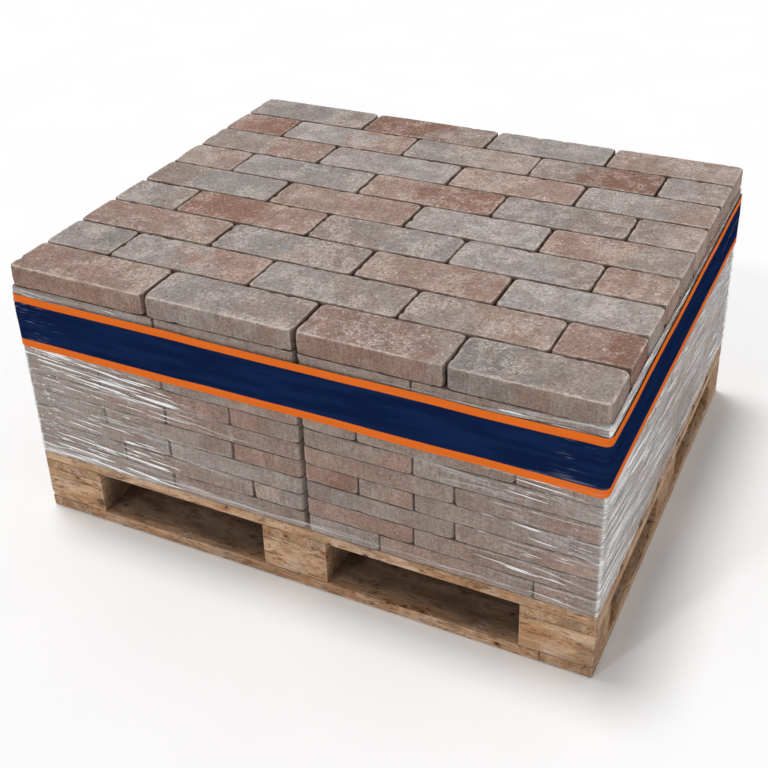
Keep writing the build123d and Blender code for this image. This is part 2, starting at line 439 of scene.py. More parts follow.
def press_faces(points, size, depth):
    """Moves the points of a box's faces inward by the given depths."""
    on_face = np.abs(points / size - 0.5) > FACE_PART
    return points + np.sign(size / 2 - points) * on_face * depth[:, None]


def new_object(name, points, quads):
    """A smooth-shaded mesh object in the scene."""
    mesh = bpy.data.meshes.new(name)
    mesh.from_pydata(points.tolist(), [], quads.tolist())
    mesh.polygons.foreach_set("use_smooth", np.ones(len(quads), bool))
    mesh.update()
    made = bpy.data.objects.new(name, mesh)
    bpy.context.scene.collection.objects.link(made)
    return made


def give_attributes(piece, named_values):
    """Stores numbers, vectors or colours on a piece's points for its material to read."""
    kinds = {1: ("FLOAT", "value"), 3: ("FLOAT_VECTOR", "vector"), 4: ("FLOAT_COLOR", "color")}
    for name, values in named_values.items():
        values = np.asarray(values, np.float32)
        kind, field = kinds[values.size // len(values)]
        attribute = piece.data.attributes.new(name, kind, "POINT")
        attribute.data.foreach_set(field, values.ravel())


def finish_piece(piece, material, node):
    """Gives a piece its material, puts it under the root, and hides the CAD node that it stands for."""
    piece.data.materials.append(material)
    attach(piece, "root")
    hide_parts(node)


# Material helpers

class Shader:
    """A material's node tree, with short calls for the nodes used here."""

    def __init__(self, name):
        self.material = bpy.data.materials.new(name)
        self.material.use_nodes = True
        self.tree = self.material.node_tree
        self.surface = self.tree.nodes["Principled BSDF"]

    def put(self, socket, value):
        """Links a node's output to a socket, or writes a plain value there."""
        if isinstance(value, bpy.types.NodeSocket):
            self.tree.links.new(value, socket)
        else:
            socket.default_value = value

    def node(self, kind, inputs=None, **settings):
        made = self.tree.nodes.new(kind)
        for name, value in settings.items():
            setattr(made, name, value)
        for key, value in (inputs or {}).items():
            self.put(made.inputs[key], value)
        return made

    def attribute(self, name, output="Fac"):
        return self.node("ShaderNodeAttribute", attribute_name=name).outputs[output]

    def math(self, operation, first, *others):
        """Applies an operation of two values to all the values in turn."""
        result = first
        for other in others:
            result = self.node("ShaderNodeMath", {0: result, 1: other}, operation=operation).outputs[0]
        return result

    def absolute(self, value):
        return self.node("ShaderNodeMath", {0: value}, operation="ABSOLUTE").outputs[0]

    def times(self, *values):
        return self.math("MULTIPLY", *values)

    def plus(self, *values):
        return self.math("ADD", *values)

    def largest(self, *values):
        return self.math("MAXIMUM", *values)

    def centred(self, noise):
        """A noise moved from the range 0 to 1 to lie about 0."""
        return self.math("SUBTRACT", noise, 0.5)

    def scaled(self, vector, factors):
        made = self.node("ShaderNodeVectorMath", {0: vector, 1: factors}, operation="MULTIPLY")
        return made.outputs[0]

    def noise(self, vector, scale, detail=4.0, roughness=0.55):
        inputs = {"Vector": vector, "Scale": scale, "Detail": detail, "Roughness": roughness}
        return self.node("ShaderNodeTexNoise", inputs).outputs["Fac"]

    def stretched(self, vector, scales, detail=4.0, roughness=0.55):
        """A noise with its own scale along each axis."""
        return self.noise(self.scaled(vector, scales), 1.0, detail, roughness)

    def cells(self, vector, scale, output="Distance"):
        inputs = {"Vector": vector, "Scale": scale}
        return self.node("ShaderNodeTexVoronoi", inputs).outputs[output]

    def chosen_cells(self, vector, scale, chosen):
        """1 in the given share of the cells, at random, and 0 in the rest."""
        red = self.node("ShaderNodeSeparateColor", {0: self.cells(vector, scale, "Color")}).outputs[0]
        return self.math("LESS_THAN", red, chosen)

    def dots(self, vector, scale, chosen, outer, inner):
        """Dots in the given share of the cells: 1 within the inner radius, 0 past the outer one."""
        round_ones = self.ramp(self.cells(vector, scale), outer, inner)
        return self.times(round_ones, self.chosen_cells(vector, scale, chosen))

    def ramp(self, value, low, high, new_low=0.0, new_high=1.0):
        """Maps low to high onto a new range with soft ends, and holds it outside."""
        inputs = {"Value": value, "From Min": low, "From Max": high, "To Min": new_low, "To Max": new_high}
        return self.node("ShaderNodeMapRange", inputs, interpolation_type="SMOOTHSTEP").outputs["Result"]

    def between(self, share, at_none, at_full):
        """Goes from one value to the other as a share goes from 0 to 1."""
        return self.ramp(share, 0.0, 1.0, at_none, at_full)

    def veins(self, noise, outer, inner):
        """1 along the thin lines where a noise crosses its middle, 0 further off than the outer."""
        return self.ramp(self.absolute(self.centred(noise)), outer, inner)

    def mix(self, share, first, second, blend="MIX"):
        made = self.node("ShaderNodeMix", data_type="RGBA", blend_type=blend)
        self.put(made.inputs["Factor"], share)
        self.put(made.inputs[6], first)
        self.put(made.inputs[7], second)
        return made.outputs[2]

    def multiplied(self, base, tint):
        return self.mix(1.0, base, tint, "MULTIPLY")

    def covered(self, base, tint, *shares):
        """Covers a colour with a tint by the product of the shares."""
        return self.mix(self.times(*shares), base, tint)

    def tinted(self, base, tint, value, low, high, most):
        """Covers a colour with a tint, by at most this share, as a value goes from low to high."""
        return self.covered(base, tint, self.ramp(value, low, high, new_high=most))

    def shaded(self, base, value, low, high, darkest, lightest):
        """Makes a colour darker or lighter as a value goes from low to high."""
        factor = self.ramp(value, low, high, darkest, lightest)
        return self.node("ShaderNodeVectorMath", {0: base, "Scale": factor}, operation="SCALE").outputs[0]

    def bump(self, height, strength, distance, normal=None):
        inputs = {"Height": height, "Strength": strength, "Distance": distance}
        if normal is not None:
            inputs["Normal"] = normal
        return self.node("ShaderNodeBump", inputs).outputs["Normal"]

    def finished(self, **values):
        """Sets the surface's inputs, and gives the material."""
        for name, value in values.items():
            self.put(self.surface.inputs[name.replace("_", " ")], value)
        return self.material


def upright_share(s):
    """1 on upright faces and 0 on level ones."""
    normal = s.node("ShaderNodeNewGeometry").outputs["Normal"]
    height = s.node("ShaderNodeSeparateXYZ", {0: normal}).outputs["Z"]
    return s.ramp(s.absolute(height), 0.75, 0.35)


# Materials. A noise's scale is in lumps a metre, and it lies mostly from 0.35 to 0.65.

def brick_tones(s, place, upright, clouds, grain):
    """A brick's two tones with clouds in them, its browner sides, and its coarse grain."""
    # The line between the two tones wanders along the brick
    drift = s.times(s.centred(s.noise(place, 15.0, roughness=0.65)), 1.4)
    turn = s.plus(s.attribute("turnover"), drift)
    main, other = (s.attribute(name, "Color") for name in ("tone_main", "tone_other"))
    base = s.mix(s.ramp(turn, -0.1, 0.1), main, other)
    base = s.shaded(base, clouds, 0.36, 0.64, darkest=0.88, lightest=1.11)

    # Upright faces are browner, with tall reddish patches and fine upright streaks
    base = s.mix(upright, base, s.multiplied(base, SIDE_TINT))
    tall_patches = s.noise(s.scaled(place, (1.0, 1.0, 0.1)), 12.0, detail=1.0)
    base = s.covered(base, SIDE_RED, upright, s.ramp(tall_patches, 0.56, 0.58, new_high=0.5))
    streaks = s.noise(s.scaled(place, (1.0, 1.0, 0.07)), 230.0, roughness=0.7)
    base = s.mix(upright, base, s.shaded(base, streaks, 0.36, 0.64, darkest=0.9, lightest=1.1))

    hue = s.mix(s.ramp(s.noise(place, 48.0, detail=3.0), 0.4, 0.6), *HUE_TINTS)
    return s.shaded(s.multiplied(base, hue), grain, 0.36, 0.64, darkest=0.76, lightest=1.24)


def brick_grit(s, base, place, upright):
    """Pale grit, thin pale veins and dots, mostly where a brick has bloomed, and dark pores."""
    bloom = s.ramp(s.noise(place, 12.0, detail=5.0, roughness=0.65), 0.47, 0.58)
    grit = s.ramp(s.noise(place, 150.0, detail=3.0, roughness=0.75), 0.59, 0.615)
    grit = s.times(grit, s.between(bloom, 0.42, 1.0))
    web = s.veins(s.noise(place, 62.0, detail=5.0, roughness=0.75), outer=0.028, inner=0.01)
    dots = s.dots(place, 92.0, chosen=0.2, outer=0.22, inner=0.14)
    pale = s.largest(grit, s.times(web, bloom, 0.8), dots)
    base = s.covered(base, PALE_GRIT, pale, s.between(upright, 0.76, 0.18))
    pores = s.dots(place, 105.0, chosen=0.26, outer=0.3, inner=0.16)
    return s.covered(base, PORE, pores, s.between(upright, 0.6, 0.3))


def brick_wear_and_shade(s, base, place, upright):
    """Ragged pale worn edges, pale chips, and grime with painted shade in the joints."""
    edge = s.attribute("edge")
    ragged = s.times(s.centred(s.noise(place, 95.0, detail=5.0, roughness=0.75)), 3.2)
    worn = s.times(s.ramp(s.plus(edge, ragged), 0.3, 0.75), s.ramp(edge, 0.0, 0.2))
    patchy = s.ramp(s.noise(place, 20.0, detail=3.0), 0.42, 0.58, new_low=0.3, new_high=0.76)
    base = s.covered(base, WORN_EDGE, worn, patchy, s.between(upright, 1.0, 0.45))
    base = s.covered(base, CHIPPED_EDGE, s.attribute("chip"), 0.35)
    # Joints and the ends of stones are darkened with grime and painted shade
    joint_dirt_and_shade = s.ramp(s.plus(s.attribute("seam"), s.times(ragged, 0.2)), 0.45, 0.9)
    patchy_dirt_and_shade = s.ramp(s.noise(place, 26.0, detail=3.0), 0.42, 0.58, new_low=0.45, new_high=0.85)
    return s.covered(base, JOINT_DIRT_AND_SHADE, joint_dirt_and_shade, patchy_dirt_and_shade)


def brick_material():
    """Tumbled concrete: two tones on a brick, coarse grain, pale grit, pores and worn edges."""
    s = Shader("tumbled_concrete")
    place = s.attribute("place", "Vector")
    upright = upright_share(s)
    clouds = s.noise(place, 24.0, detail=5.0, roughness=0.7)
    grain = s.noise(place, 180.0, detail=5.0, roughness=0.8)
    base = brick_tones(s, place, upright, clouds, grain)
    base = brick_grit(s, base, place, upright)
    base = brick_wear_and_shade(s, base, place, upright)
    fine = s.bump(grain, 0.6, 1.0 * MM)
    coarse = s.bump(s.noise(place, 90.0, roughness=0.7), 0.5, 1.4 * MM, fine)
    roughness = s.ramp(clouds, 0.2, 0.8, new_low=0.84, new_high=0.97)
    return s.finished(Base_Color=base, Roughness=roughness, Normal=coarse, Specular_IOR_Level=0.2)


def core_material():
    """Bricks deep in the stack, seen only through the joints."""
    s = Shader("shaded_concrete")
    place = s.node("ShaderNodeTexCoord").outputs["Object"]
    shade = s.ramp(s.noise(place, 30.0, detail=6.0, roughness=0.7), 0.3, 0.7)
    base = s.mix(shade, *CORE_BROWNS)
    normal = s.bump(s.noise(place, 400.0), 0.4, 0.6 * MM)
    return s.finished(Base_Color=base, Roughness=0.92, Normal=normal)


def wood_patches(s, base, blotches, weathered, stains):
    """Resin and bleached blotches, weathered patches and stains, each over the one before."""
    base = s.tinted(base, RESIN, blotches, 0.52, 0.66, most=0.5)
    base = s.tinted(base, BLEACHED, blotches, 0.46, 0.34, most=0.6)
    base = s.tinted(base, WEATHERED, weathered, 0.52, 0.66, most=0.55)
    return s.tinted(base, STAIN, stains, 0.56, 0.66, most=0.7)


def wood_fibres(s, base, grain, fibres, blotches):
    """Fine fibres, a rough sawn surface, dark flecks, and cracks along the grain."""
    base = s.shaded(base, fibres, 0.38, 0.62, darkest=0.82, lightest=1.13)
    sawn = s.noise(grain, 240.0, detail=3.0, roughness=0.7)
    base = s.shaded(base, sawn, 0.38, 0.62, darkest=0.9, lightest=1.08)
    flecks = s.stretched(grain, (50.0, 190.0, 190.0), detail=3.0, roughness=0.6)
    base = s.tinted(base, FLECK, flecks, 0.6, 0.66, most=0.7)
    crack_noise = s.stretched(grain, (4.0, 44.0, 44.0), detail=3.0)
    cracks = s.times(s.veins(crack_noise, outer=0.012, inner=0.003), s.ramp(blotches, 0.44, 0.56))
    return s.covered(base, CRACK, cracks, 0.6)


def wood_spots(s, base, grain, spots):
    """Nail marks or knots, ring by ring."""
    place = s.scaled(grain, (spots["along"], 1.0, 1.0))
    chosen = s.chosen_cells(place, spots["scale"], spots["chosen"])
    distance = s.cells(place, spots["scale"])
    for outer, inner, strength, tint in spots["rings"]:
        base = s.covered(base, tint, s.ramp(distance, outer, inner), chosen, strength)
    return base


def wood_edges(s, base, grain, weathered):
    """Pale edges, partly rubbed and partly painted highlights, darker end grain, dust and painted shade
    inside the pallet, and painted shade in the seams where one timber lies on another."""
    edge = s.attribute("edge")
    # Pale edges: rubbed wood and painted highlights
    base = s.covered(base, RUBBED_EDGE_AND_HIGHLIGHT, edge, s.ramp(s.noise(grain, 60.0), 0.4, 0.56), 0.6)
    base = s.covered(base, END_GRAIN, s.attribute("end_grain"), 0.25)
    patchy = s.ramp(weathered, 0.3, 0.6, new_low=0.5, new_high=0.75)
    # Dust and painted shade on timber further inside the pallet
    base = s.covered(base, DUST_AND_SHADE, s.attribute("inside"), patchy)
    # Painted shade in the seams where timbers meet, stronger where a seam gapes
    seam = s.ramp(s.times(s.attribute("seam"), edge), 0.25, 0.7)
    gaping = s.stretched(grain, (8.0, 12.0, 12.0), detail=3.0)
    return s.covered(base, SEAM_SHADE, seam, s.ramp(gaping, 0.4, 0.6, new_low=0.3, new_high=0.85))


def wood_material():
    """Sawn softwood: growth bands with patches, fibres, nail marks, knots, and worn edges that also carry
    painted highlights.
    """
    s = Shader("sawn_softwood")
    grain = s.attribute("grain", "Vector")
    tone = s.attribute("tone")
    bands = s.stretched(grain, (2.0, 36.0, 36.0), detail=3.0, roughness=0.6)
    blotches = s.stretched(grain, (16.0, 34.0, 34.0), detail=3.0, roughness=0.6)
    weathered = s.stretched(grain, (8.0, 20.0, 20.0), roughness=0.6)
    stains = s.stretched(grain, (24.0, 75.0, 75.0), roughness=0.65)
    fibres = s.stretched(grain, (26.0, 260.0, 260.0), roughness=0.7)
    saw_marks = s.stretched(grain, (260.0, 14.0, 14.0), detail=2.0)

    base = s.mix(s.ramp(bands, 0.4, 0.6), s.mix(tone, *LIGHT_BANDS), s.mix(tone, *DARK_BANDS))
    base = wood_patches(s, base, blotches, weathered, stains)
    base = wood_fibres(s, base, grain, fibres, blotches)
    base = wood_spots(s, base, grain, NAIL_MARKS)
    base = wood_spots(s, base, grain, KNOTS)
    base = wood_edges(s, base, grain, weathered)
    normal = s.bump(saw_marks, 0.25, 0.6 * MM, s.bump(fibres, 0.5, 0.8 * MM))
    roughness = s.ramp(stains, 0.3, 0.8, new_low=0.7, new_high=0.88)
    return s.finished(Base_Color=base, Roughness=roughness, Normal=normal, Specular_IOR_Level=0.2)


def highlight_slivers(s, slant, share, scales, densest, detail):
    """Painted highlights as white slivers on the film, where a stretched noise rises over a level set by
    their share. Gives them and the noise."""
    noise = s.stretched(slant, scales, detail, roughness=0.62)
    level = s.between(share, 0.82, densest)
    return s.ramp(s.math("SUBTRACT", noise, level), 0.0, 0.035), noise


def film_material():
    """Clear stretch film: nearly invisible where it lies flat, and white where it is creased and in
    streaks, as painted highlights.
    """
    s = Shader("clear_film")
    crease, haze_and_reflection, streaky, crinkled, slanted = (
        s.attribute(name) for name in ("crease", "haze_and_reflection", "streaky", "crinkled", "slanted")
    )
    along = s.node("ShaderNodeSeparateXYZ", {0: s.attribute("place", "Vector")}).outputs["X"]
    slant = s.node("ShaderNodeCombineXYZ", {0: along, 1: slanted}).outputs[0]

    # A cloudy veil with threads in it: milky film, with a painted reflection on the right side and painted
    # highlight lines at the corners
    clouds = s.stretched(slant, (5.0, 34.0, 1.0), detail=3.0, roughness=0.6)
    veil = s.times(haze_and_reflection, s.ramp(clouds, 0.35, 0.65, new_low=0.6))
    threads = s.stretched(slant, (5.0, 170.0, 1.0), detail=2.0, roughness=0.6)
    thread = s.times(s.ramp(threads, 0.44, 0.66), haze_and_reflection)

    # Painted highlights: white slivers in bundles, and white on crumpled film at the corners
    bundles = s.stretched(slant, (2.2, 15.0, 1.0), detail=3.0)
    share = s.times(streaky, s.ramp(bundles, 0.4, 0.58, new_low=0.76, new_high=1.03))
    long_ones, long_noise = highlight_slivers(s, slant, share, (4.4, 135.0, 1.0), densest=0.568, detail=2.0)
    short_ones, short_noise = highlight_slivers(s, slant, share, (10.0, 200.0, 2.0), densest=0.58, detail=3.0)
    crumple = s.stretched(slant, (46.0, 150.0, 1.0), roughness=0.7)
    crinkles = s.times(s.ramp(crumple, 0.575, 0.63), crinkled)
    shine = s.largest(long_ones, short_ones, crinkles)

    # The film covers at least 0.012 and at most 0.97 of what is behind it
    alpha = s.plus(s.times(veil, 0.52), s.times(thread, 0.34), s.times(crease, 0.6))
    alpha = s.plus(alpha, s.times(shine, 0.9), 0.012)
    # The film is white where highlights are painted, on slivers, crinkles and creases
    white = s.largest(shine, s.math("MINIMUM", crease, 1.0))
    relief = s.plus(s.times(long_noise, 0.6), short_noise)
    return s.finished(Base_Color=s.mix(white, *FILM_WHITES), Roughness=0.16,
                      Alpha=s.math("MINIMUM", alpha, 0.97), Normal=s.bump(relief, 0.3, 1.2 * MM),
                      Specular_IOR_Level=0.7)


def band_material():
    """Printed tape: dark blue with an orange stripe along each edge, a little creased. It has no gloss,
    because the studio's reflection would wash its colours out at a slant. Instead, a painted sheen lies in
    its mottled blue and near its corners, and painted highlights lie on its creases."""
    s = Shader("printed_tape")
    place = s.attribute("place", "Vector")
    across = s.attribute("across")
    from_edge = s.math("MINIMUM", across, s.math("SUBTRACT", 1.0, across))
    mottle = s.stretched(place, (6.0, 60.0, 1.0))
    # Mottled blue, which also holds a painted sheen
    blue = s.mix(s.ramp(mottle, 0.36, 0.64), *BAND_BLUES)
    stripe = s.ramp(from_edge, STRIPE_SHARE + STRIPE_SOFTNESS, STRIPE_SHARE - STRIPE_SOFTNESS)
    base = s.mix(stripe, blue, s.mix(mottle, *STRIPE_ORANGES))
    # Creases and the sheen streaks near the corners are painted highlights
    crease = s.math("MINIMUM", s.attribute("crease"), 1.0)
    sheen_streaks = s.stretched(place, (14.0, 240.0, 1.0), detail=3.0, roughness=0.62)
    shine = s.times(s.ramp(sheen_streaks, 0.58, 0.68), s.attribute("crinkled"))
    base = s.mix(s.largest(s.times(crease, 0.3), s.times(shine, 0.3)), base, BAND_SHEEN_AND_HIGHLIGHT)
    ripples = s.stretched(place, (8.0, 60.0, 1.0), detail=3.0)
    roughness = s.ramp(mottle, 0.3, 0.7, new_low=0.26, new_high=0.38)
    return s.finished(Base_Color=base, Roughness=roughness, Normal=s.bump(ripples, 0.2, 1.2 * MM),
                      Specular_IOR_Level=0.0)


# Bricks

def row_of(box):
    """A box's place in depth, the same for all boxes of a row."""
    return round(box[0][1], ROW_DIGITS)


def solids_in(node):
    """Lowest and highest corner of each separate solid in a CAD node, row by row."""
    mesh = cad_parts[node].data
    places = np.zeros(len(mesh.vertices) * 3)
    mesh.vertices.foreach_get("co", places)
    places = places.reshape(-1, 3)
    _, same = np.unique(np.round(places, POINT_DIGITS), axis=0, return_inverse=True)
    ends = np.zeros(len(mesh.edges) * 2, np.int64)
    mesh.edges.foreach_get("vertices", ends)
    ends = same.ravel()[ends].reshape(-1, 2)
    group = np.arange(same.max() + 1)
    while True:
        least = np.minimum(group[ends[:, 0]], group[ends[:, 1]])
        before = group.copy()
        np.minimum.at(group, ends[:, 0], least)
        np.minimum.at(group, ends[:, 1], least)
        if (group == before).all():
            break
    owner = group[same.ravel()]
    boxes = [(places[owner == g].min(0), places[owner == g].max(0)) for g in np.unique(owner)]
    return sorted(boxes, key=lambda box: (row_of(box), round(box[0][0], ROW_DIGITS)))


def rows_of(boxes):
    """Boxes grouped by their front edge, front row first."""
    return [list(row) for _, row in itertools.groupby(boxes, key=row_of)]


def facing_others(sharp, box, load, axes):
    """1 for the points of a box's faces across the given axes that face its neighbours, and 0 on
    the load's outside."""
    low, high = box
    size = high - low
    facing = np.zeros(len(sharp), bool)
    for axis in axes:
        for side, own, outer in ((0, low, load[0]), (size[axis], high, load[1])):
            if abs(own[axis] - outer[axis]) > OUTER_REACH:
                facing |= np.abs(sharp[:, axis] - side) < TINY
    return facing.astype(float)


def one_brick(box, kind, tones, load):
    """Points, quads and attributes of one tumbled brick in its place."""
    low, high = box
    size = high - low
    main, other, share = tones
    seed = int(rng.integers(1_000_000))
    points, sharp, quads, edge = worn_box(size, kind, seed)
    points, chip = chip_edges(points, size, kind)
    lumps = np.abs(smooth_noise(points, FACE_LUMP, seed + 1) - 0.5) * 2
    points = press_faces(points, size, lumps * kind["unevenness"])
    points[:, :2] += rng.uniform(-kind["shift"], kind["shift"], 2)
    brightness = rng.uniform(*BRIGHTNESS)
    ones = np.ones((len(points), 1))
    # Faces that meet a neighbour get grime and painted shade, at the ends by the kind's share
    ends_dirt_and_shade = facing_others(sharp, box, load, (0,)) * kind["end_dirt_and_shade"]
    others_dirt_and_shade = facing_others(sharp, box, load, (1, 2))
    return points + low, quads, {
        "place": points + rng.uniform(-NOISE_REACH, NOISE_REACH, 3),
        "tone_main": ones * (np.array(TONES[main]) * brightness),
        "tone_other": ones * (np.array(TONES[other]) * brightness),
        "turnover": points[:, 0] / size[0] - share,
        "edge": edge,
        "chip": chip,
        "seam": np.maximum(ends_dirt_and_shade, others_dirt_and_shade),
    }


def brick_layer(node, bricks, material):
    """Joins a layer's bricks into one piece."""
    points, quads, attributes = zip(*bricks)
    starts = np.cumsum([0] + [len(own) for own in points])
    quads = np.concatenate([own + start for own, start in zip(quads, starts)])
    piece = new_object(f"tumbled_{node}", np.concatenate(points), quads)
    joined = {name: np.concatenate([own[name] for own in attributes]) for name in attributes[0]}
    give_attributes(piece, joined)
    finish_piece(piece, material, node)


def left_of_gap(boxes):
    """Number of the front stone left of the middle gap."""
    front = rows_of(boxes)[0]
    spaces = [after[0][0] - box[1][0] for box, after in zip(front, front[1:])]
    return int(np.argmax(spaces))


def random_tones():
    main, other = LOWER_PAIRS[int(rng.integers(len(LOWER_PAIRS)))]
    return (main, other, rng.choice(LOWER_SHARES))


def wrapped_tones(count, gap, layer):
    """Tones of a wrapped layer's stones: chosen beside the middle gap at the front, else random."""
    tones = [random_tones() for _ in range(count)]
    if layer < len(GAP_TONES):
        tones[gap:gap + 2] = GAP_TONES[layer]
    return tones


def make_bricks():
    """A piece for each layer, from the bottom up, and the core's material."""
    material = brick_material()
    low, high = (np.array(corner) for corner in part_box(TOP_LAYER))
    low[2] = 0
    load = (low, high)
    layers = sorted(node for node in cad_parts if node.startswith("brick_layer") and node != TOP_LAYER)
    for number, node in enumerate(layers):
        boxes = solids_in(node)
        gap = left_of_gap(boxes)
        kinds = [LOWER_BRICK] * len(boxes)
        kinds[gap:gap + 2] = [GAP_BRICK] * 2
        tones = wrapped_tones(len(boxes), gap, number)
        bricks = [one_brick(box, kind, pair, load) for box, kind, pair in zip(boxes, kinds, tones)]
        brick_layer(node, bricks, material)
    top = []
    for row, tones in zip(rows_of(solids_in(TOP_LAYER)), TOP_TONES):
        top += [one_brick(box, TOP_BRICK, pair, load) for box, pair in zip(row, tones)]
    brick_layer(TOP_LAYER, top, material)
    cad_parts["brick_core"].data.materials.clear()
    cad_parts["brick_core"].data.materials.append(core_material())


# Pallet

def dust_and_shade_inside(points, low, node):
    """0 on the pallet's outside, and up to 1 on what lies further in."""
    pallet = np.array([cad_low[:2], cad_high[:2]])
    from_outside = np.abs((points + low)[:, None, :2] - pallet).min(axis=(1, 2))
    # Dust and painted shade grow inward from the outside
    inside = np.clip((from_outside - BARE_RIM) / DUST_AND_SHADE_STRETCH, 0, 1)
    return inside * CROSS_BOARD_DUST_AND_SHADE if node.startswith("cross_bottom_board") else inside


def timber(node, material):
    """One board or block with its grain along its longest level side. A long bottom board has a
    seam at its ends too, where a cross board butts against it."""
    low, high = (np.array(corner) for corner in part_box(node))
    size = high - low
    along = int(np.argmax(size[:2]))
    seed = int(rng.integers(1_000_000))
    points, sharp, quads, edge = worn_box(size, TIMBER, seed)
    # Faces that meet another timber, for painted shade in the seams
    seam_axes = (0, 2) if "long" in node else (2,)
    seams = facing_others(sharp, (low, high), (cad_low, cad_high), seam_axes)
    points, chip = chip_edges(points, size, TIMBER)
    lump = np.full(3, TIMBER_LUMP)
    lump[along] = TIMBER_LUMP_LENGTH
    points = press_faces(points, size, smooth_noise(points, lump, seed + 1) * TIMBER["unevenness"])
    grain_axes = [along, 1 - along, 2]
    piece = new_object(f"sawn_{node}", points + low, quads)
    give_attributes(piece, {
        "grain": points[:, grain_axes] + rng.uniform(-NOISE_REACH, NOISE_REACH, 3),
        "edge": np.maximum(edge, chip),
        "end_grain": np.abs(points[:, along] / size[along] - 0.5) > END_FACE,
        "inside": dust_and_shade_inside(points, low, node),
        "seam": seams,
        "tone": np.full(len(points), rng.uniform(*TIMBER_TONES)),
    })
    finish_piece(piece, material, node)


def make_pallet():
    """A piece for each node that is neither bricks nor wrapping."""
    material = wood_material()
    for node in sorted(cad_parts):
        if not node.startswith(("brick", FILM["node"], BAND["node"])):
            timber(node, material)


# Wrapping

def run_places(length):
    """Places along a straight side, closer together near its two corners."""
    near = np.arange(0, CORNER_ZONE, CORNER_SPACING)
    rest = length - 2 * CORNER_ZONE
    middle = CORNER_ZONE + np.linspace(0, rest, round(rest / SIDE_SPACING) + 1)
    return np.concatenate([near, middle, length - near[::-1]])


def outline_round(corner, offset):
    """The rounded rectangle round the load. It starts at the back left corner and runs down the
    left side, along the front, up the right side and back."""
    low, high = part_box(TOP_LAYER)
    reach_x = (high.x - low.x) / 2 + offset
    reach_y = (high.y - low.y) / 2 + offset
    corner_points = [(-reach_x, reach_y), (-reach_x, -reach_y), (reach_x, -reach_y), (reach_x, reach_y)]
    places, facings, corners = [], [], []
    for start, end in zip(corner_points, corner_points[1:] + corner_points[:1]):
        start, end = np.array(start), np.array(end)
        length = np.linalg.norm(end - start)
        way = (end - start) / length
        facing = np.array([way[1], -way[0]])
        for place in run_places(length - 2 * corner):
            places.append(start + way * (corner + place))
            facings.append(facing)
        centre = end - way * corner - facing * corner
        corners.append(len(places) + 1)
        for turn in np.radians(CORNER_TURNS):
            out = facing * math.cos(turn) + way * math.sin(turn)
            places.append(centre + out * corner)
            facings.append(out)
    places, facings = np.array(places), np.array(facings)
    gaps = np.linalg.norm(np.roll(places, -1, axis=0) - places, axis=1)
    distance = np.concatenate([[0], np.cumsum(gaps)[:-1]])
    return {"places": places, "facings": facings, "distance": distance, "length": gaps.sum(),
            "corners": dict(zip(("left", "near", "far", "back"), distance[corners]))}


def tube_quads(columns, rows):
    """Quads of an open tube whose points run row by row."""
    column, row = np.meshgrid(np.arange(columns), np.arange(rows - 1))
    after = (column + 1) % columns
    corners = [row * columns + column, row * columns + after, (row + 1) * columns + after,
               (row + 1) * columns + column]
    return np.stack(corners, -1).reshape(-1, 4)


def from_corner(along, outline, corner, off=0.0):
    """Signed distance from a place a little past a corner, the short way round."""
    middle = outline["corners"][corner] + off
    return (along - middle + outline["length"] / 2) % outline["length"] - outline["length"] / 2


def spots_on(along, outline, spots):
    """Adds up soft spots, each this far past its corner, this wide and this strong."""
    total = 0.0
    for corner, off, width, strength in spots:
        total = total + strength * np.exp(-(from_corner(along, outline, corner, off) / width) ** 2)
    return total


def fold_lines(along, height, outline, zones):
    """Adds up long thin folds and gives their height as a share of a full fold's."""
    total = np.zeros(len(along))
    for zone in zones:
        for _ in range(zone["count"]):
            off = from_corner(along, outline, zone["corner"], rng.normal(zone["off"], zone["spread"]))
            level = rng.uniform(zone["low"], zone["high"])
            length = zone["longest"] * rng.uniform(*FOLD_LENGTHS)
            slope = rng.normal(zone["slope"], zone["slopes"])
            width = zone["width"] * rng.uniform(*FOLD_WIDTHS)
            strength = rng.uniform(*FOLD_STRENGTHS)
            taper = np.clip(1 - (off / (length / 2)) ** 2, 0, 1)
            wave = FOLD_WAVE * np.sin(off * WAVES_ALONG + level * WAVES_BETWEEN)
            half_width = width * (FOLD_END + (1 - FOLD_END) * taper)
            across = (height - level - slope * off - wave) / half_width
            total = np.maximum(total, strength * np.sqrt(taper) * np.exp(-across ** 2))
    return total


def on_sheet(along, height):
    """Places on the flat sheet, for a noise to read."""
    return np.stack([along, height, np.zeros(len(along))], -1)


def wrap(skin, zones, material):
    """A creased skin round the load, from its CAD tube's lower to its upper edge."""
    node = skin["node"]
    low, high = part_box(node)
    outline = outline_round(skin["corner"], skin["offset"])
    rows = round((high.z - low.z) / skin["row"]) + 1
    columns = len(outline["places"])
    z = np.repeat(np.linspace(low.z, high.z, rows), columns)
    along = np.tile(outline["distance"], rows)
    share = (z - low.z) / (high.z - low.z)
    fold = fold_lines(along, z, outline, zones)
    swell = smooth_noise(on_sheet(along, z * SWELL_FLATNESS), SWELL_SIZE, SEED) - 0.5
    out = fold * FOLD_HEIGHT + swell * SWELL_HEIGHT
    hem = (smooth_noise(on_sheet(along, z * 0), HEM_WAVE_SIZE, SEED + 3) - 0.5) * HEM_WAVE
    lift = spots_on(along, outline, [("near", LIFT_PLACE, LIFT_WIDTH, skin["lift"])]) * share ** LIFT_POWER
    around = np.tile(outline["places"], (rows, 1)) + np.tile(outline["facings"], (rows, 1)) * out[:, None]
    points = np.column_stack([around, z + hem * (2 * share - 1) + lift])
    piece = new_object(f"creased_{node}", points, tube_quads(columns, rows))
    looks = film_looks(along, z, share, outline)
    looks |= {"place": on_sheet(along, z), "across": share, "crease": fold}
    give_attributes(piece, {name: looks[name] for name in skin["reads"]})
    finish_piece(piece, material, node)


